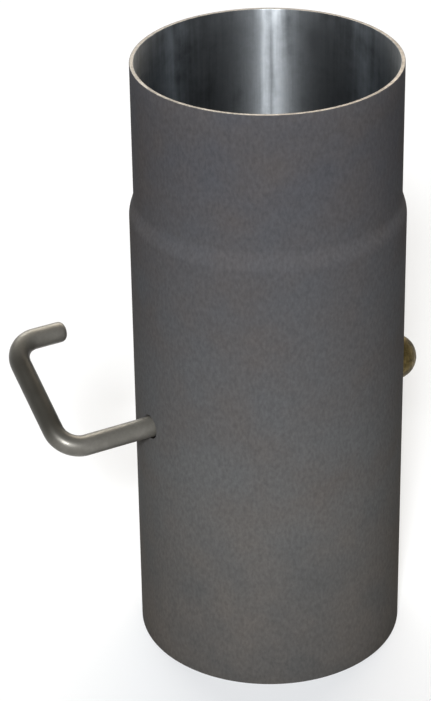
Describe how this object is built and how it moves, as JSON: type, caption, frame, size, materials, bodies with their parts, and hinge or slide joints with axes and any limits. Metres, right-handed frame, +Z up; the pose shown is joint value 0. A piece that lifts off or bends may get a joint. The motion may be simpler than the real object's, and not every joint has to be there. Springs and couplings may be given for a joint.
{
  "type": "stove pipe",
  "caption": "Straight steel stove pipe with a swaged spigot at the top and a throttle damper inside, turned by a bent bar handle.",
  "frame": {"origin": "centre of the pipe's lower end, on the pipe's axis", "axes": "+Z up the pipe towards the spigot, +X along the spindle from the handle to the domed cap"},
  "size_m": [0.1971, 0.129, 0.3],
  "materials": {
    "heat_paint": "matt heat-resistant grey paint with a fine grain",
    "painted_bar": "satin grey paint on drawn round bar",
    "plain_sheet": "bare cold-rolled steel",
    "zinc_plate": "bright zinc plate",
    "spring_steel": "drawn spring wire",
    "cap_brass": "dull, tarnished brass"
  },
  "bodies": {
    "pipe_body": {"pipe": "heat_paint", "inner_washer": "zinc_plate", "outer_washer": "zinc_plate"},
    "damper": {"handle_spindle": "painted_bar", "damper_plate": "plain_sheet", "saddle_1": "zinc_plate", "saddle_2": "zinc_plate", "saddle_screw_1": "zinc_plate", "saddle_screw_2": "zinc_plate", "saddle_screw_3": "zinc_plate", "saddle_screw_4": "zinc_plate", "split_washer_1": "zinc_plate", "split_washer_2": "zinc_plate", "split_washer_3": "zinc_plate", "split_washer_4": "zinc_plate", "saddle_nut_1": "zinc_plate", "saddle_nut_2": "zinc_plate", "saddle_nut_3": "zinc_plate", "saddle_nut_4": "zinc_plate", "friction_spring": "spring_steel", "domed_cap": "cap_brass"}
  },
  "joints": [
    {"name": "damper_turn", "type": "hinge", "parent": "pipe_body", "child": "damper", "pos_m": [0, 0, 0.1265], "axis": [1, 0, 0], "continuous": true}
  ]
}
